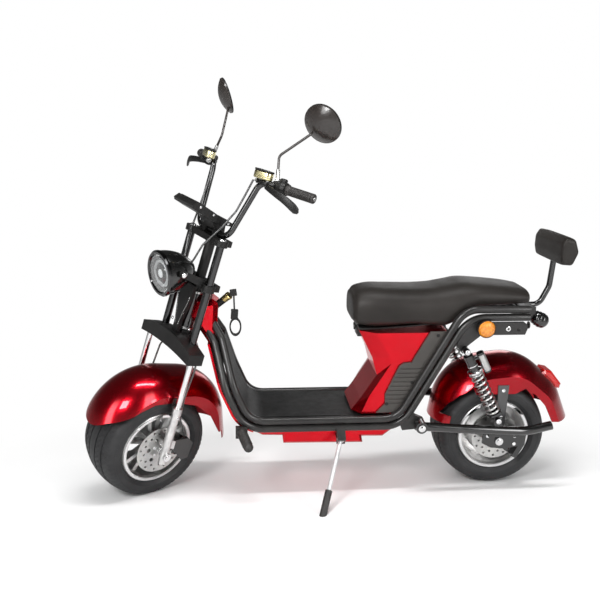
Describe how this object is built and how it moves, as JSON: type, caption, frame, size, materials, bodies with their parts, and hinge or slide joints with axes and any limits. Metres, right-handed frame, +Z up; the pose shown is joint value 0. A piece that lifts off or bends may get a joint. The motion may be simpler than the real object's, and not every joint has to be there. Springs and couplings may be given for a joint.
{
  "type": "electric scooter",
  "caption": "Electric sit-on scooter with wide tyres, twin-tube frame, padded seat and backrest, leaning on its side stand.",
  "frame": {"origin": "middle of the base of the whole scooter as it leans on its side stand, on the floor", "axes": "+X forward, +Y to the rider's left, towards the side stand, +Z up"},
  "size_m": [1.8932, 0.6546, 1.5909],
  "materials": {
    "tyre": "matt rubber",
    "rim": "machined, bright",
    "chrome": "polished",
    "frame_black": "satin powder coat",
    "gloss_black": "gloss paint",
    "red_paint": "candy gloss paint",
    "grey_panel": "moulded, fine grain",
    "mat_rubber": "matt",
    "seat_cover": "leatherette grain",
    "seat_base": "moulded",
    "spring_steel": "bare coil steel",
    "lamp_glass": "clear",
    "amber_lens": "ribbed amber lens",
    "red_lens": "red lens",
    "gold": "anodised gold"
  },
  "bodies": {
    "chassis": {"frame_tubes_left": "frame_black", "frame_tubes_right": "frame_black", "cross_members": "frame_black", "head_tube": "frame_black", "neck_cover": "red_paint", "key_lock": "chrome", "floor_board": "grey_panel", "floor_mat": "mat_rubber", "front_shield": "red_paint", "belly_pan": "red_paint", "centre_body": "red_paint", "side_panels": "grey_panel", "seat_hinge": "frame_black", "tail_plates": "frame_black", "rear_fender": "red_paint", "fender_straps": "chrome", "swingarm": "gloss_black", "rear_axle": "chrome", "shock_absorbers": "gloss_black", "shock_springs": "spring_steel", "rear_caliper": "gloss_black", "turn_lamps": "amber_lens", "tail_light": "red_lens", "tail_pods": "frame_black", "tail_bracket": "frame_black", "backrest_post": "gloss_black", "backrest_pad": "seat_cover", "foot_pegs": "frame_black", "frame_brackets": "frame_black"},
    "seat": {"seat_cushion": "seat_cover", "seat_pan": "seat_base"},
    "side_stand": {"stand_leg": "chrome", "stand_foot": "mat_rubber"},
    "rear_wheel": {"rear_tyre": "tyre", "rear_rim": "rim", "rear_disc": "rim"},
    "front_wheel": {"front_tyre": "tyre", "front_rim": "rim", "front_discs": "rim"},
    "steering": {"fork_yokes": "gloss_black", "top_clamp": "gloss_black", "fork_upper_tubes": "gloss_black", "fork_stanchions": "chrome", "fork_sliders": "rim", "front_axle": "chrome", "front_fender": "red_paint", "front_calipers": "gloss_black", "headlight_bucket": "gloss_black", "headlight_lens": "lamp_glass", "headlight_bracket": "gloss_black", "handlebar": "gloss_black", "grips": "mat_rubber", "switch_pods": "grey_panel", "brake_controls": "gloss_black", "fender_stays": "gloss_black", "mirrors": "gloss_black", "dash_board": "grey_panel", "column_cover": "gloss_black", "hoses": "mat_rubber", "reservoirs": "gold"}
  },
  "joints": [
    {"name": "steering_turn", "type": "hinge", "parent": "chassis", "child": "steering", "pos_m": [0.54588, -0.01193, 0.68556], "axis": [-0.2935, 0.1462, 0.9447], "range_deg": [-72, 0]},
    {"name": "front_wheel_spin", "type": "hinge", "parent": "steering", "child": "front_wheel", "pos_m": [0.72769, -0.05715, 0.21978], "axis": [-0.5606, 0.7742, -0.294], "continuous": true},
    {"name": "rear_wheel_spin", "type": "hinge", "parent": "chassis", "child": "rear_wheel", "pos_m": [-0.62805, -0.08435, 0.21774], "axis": [0, 0.9882, -0.153], "continuous": true},
    {"name": "stand_fold", "type": "hinge", "parent": "chassis", "child": "side_stand", "pos_m": [-0.01428, 0.09325, 0.22761], "axis": [-0.0045, 0.807, 0.5906], "range_deg": [0, 104]},
    {"name": "seat_open", "type": "hinge", "parent": "chassis", "child": "seat", "pos_m": [-0.09076, -0.01926, 0.63817], "axis": [0, 0.9882, -0.153], "range_deg": [0, 70]}
  ]
}
